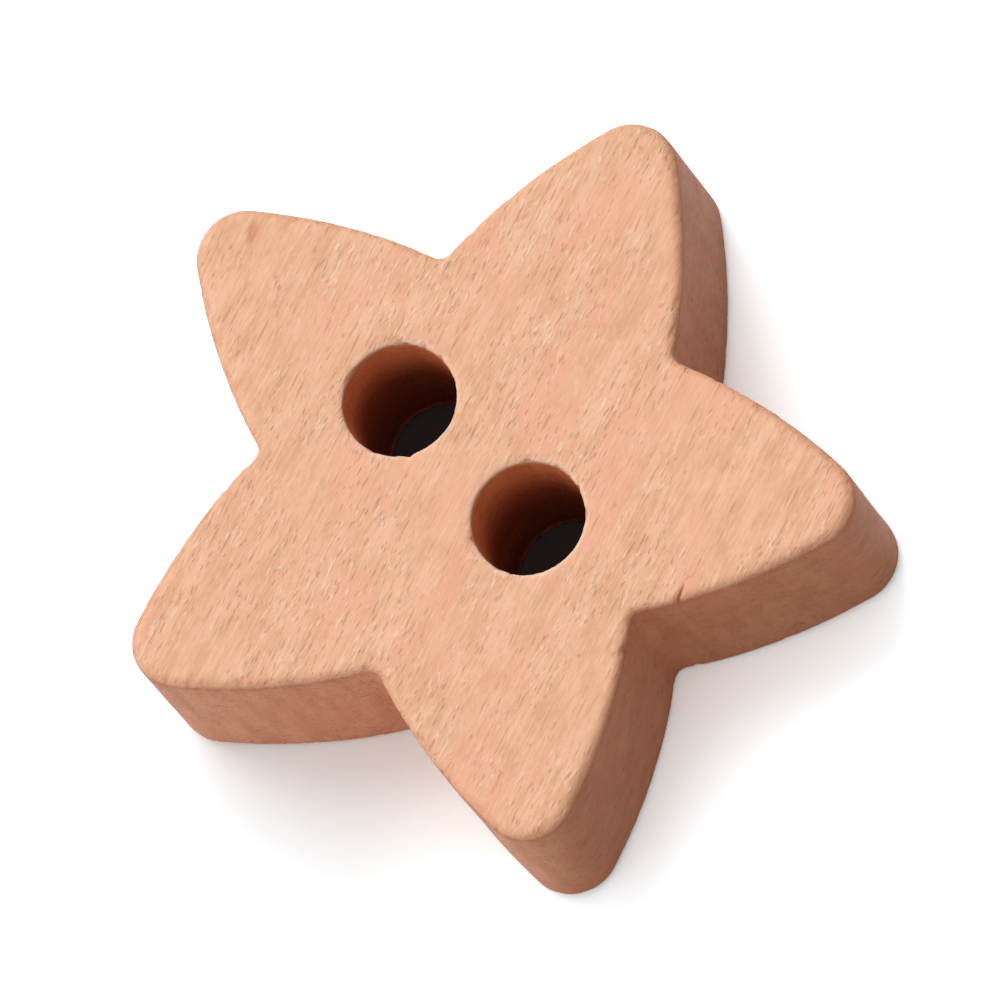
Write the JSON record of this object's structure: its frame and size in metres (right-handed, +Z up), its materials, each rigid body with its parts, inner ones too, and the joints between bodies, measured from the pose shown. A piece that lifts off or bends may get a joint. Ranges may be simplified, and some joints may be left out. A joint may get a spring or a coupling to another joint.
{
  "type": "wooden star button",
  "caption": "Chunky sewing button of pale wood shaped as a star, with rounded points, bowed sides, softened edges and thread holes straight through its thickness.",
  "frame": {"origin": "centre of the star on its flat underside", "axes": "+Z up through the thickness, +Y along the point that the thread holes line up with, +X towards a side point"},
  "size_m": [0.015, 0.0143, 0.0043],
  "materials": {
    "wood": "bare, unvarnished pale hardwood, tumbled smooth, with short fine flecks along the grain"
  },
  "bodies": {
    "root": {"star_button": "wood"}
  },
  "joints": []
}
